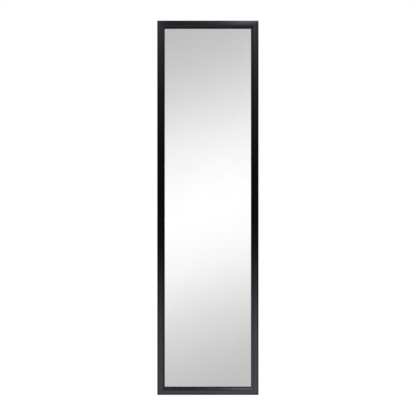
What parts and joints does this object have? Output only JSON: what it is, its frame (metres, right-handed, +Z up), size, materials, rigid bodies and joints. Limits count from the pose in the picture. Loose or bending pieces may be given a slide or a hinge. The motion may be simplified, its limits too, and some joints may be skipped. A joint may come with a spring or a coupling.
{
  "type": "full length mirror",
  "caption": "Tall narrow wall mirror: silvered glass in a mitred black moulding with a round outer edge and a sloped sight edge, hung by strap hangers with swinging wire rings.",
  "frame": {"origin": "centre of the bottom rail's underside, at the middle of the moulding's depth", "axes": "+X to the right seen from the front, +Y to the back, towards the wall, +Z up; the glass faces -Y"},
  "size_m": [0.34, 0.0221, 1.2544],
  "materials": {
    "black_moulding": "satin black",
    "mirror_glass": "polished",
    "silver": "mirror",
    "hardboard": "matt brown fibre board",
    "blued_steel": "dull",
    "zinc_steel": "zinc plated",
    "nickel_wire": "nickel plated",
    "bumper_rubber": "matt"
  },
  "bodies": {
    "mirror": {"top_rail": "black_moulding", "top_rail_points": "blued_steel", "bottom_rail": "black_moulding", "bottom_rail_points": "blued_steel", "left_stile": "black_moulding", "left_stile_points": "blued_steel", "right_stile": "black_moulding", "right_stile_points": "blued_steel", "upper_left_v_nails": "blued_steel", "upper_right_v_nails": "blued_steel", "lower_left_v_nails": "blued_steel", "lower_right_v_nails": "blued_steel", "mirror_glass": "mirror_glass", "silver_layer": "silver", "backing_board": "hardboard", "hanger_screws": "zinc_steel", "left_hanger_strap": "zinc_steel", "left_bumper": "bumper_rubber", "right_hanger_strap": "zinc_steel", "right_bumper": "bumper_rubber"},
    "left_ring": {"left_hanger_ring": "nickel_wire"},
    "right_ring": {"right_hanger_ring": "nickel_wire"}
  },
  "joints": [
    {"name": "left_ring_swing", "type": "hinge", "parent": "mirror", "child": "left_ring", "pos_m": [-0.16175, 0.01085, 1.0544], "axis": [-1, 0, 0], "range_deg": [0, 150]},
    {"name": "right_ring_swing", "type": "hinge", "parent": "mirror", "child": "right_ring", "pos_m": [0.16175, 0.01085, 1.0544], "axis": [-1, 0, 0], "range_deg": [0, 150]}
  ]
}
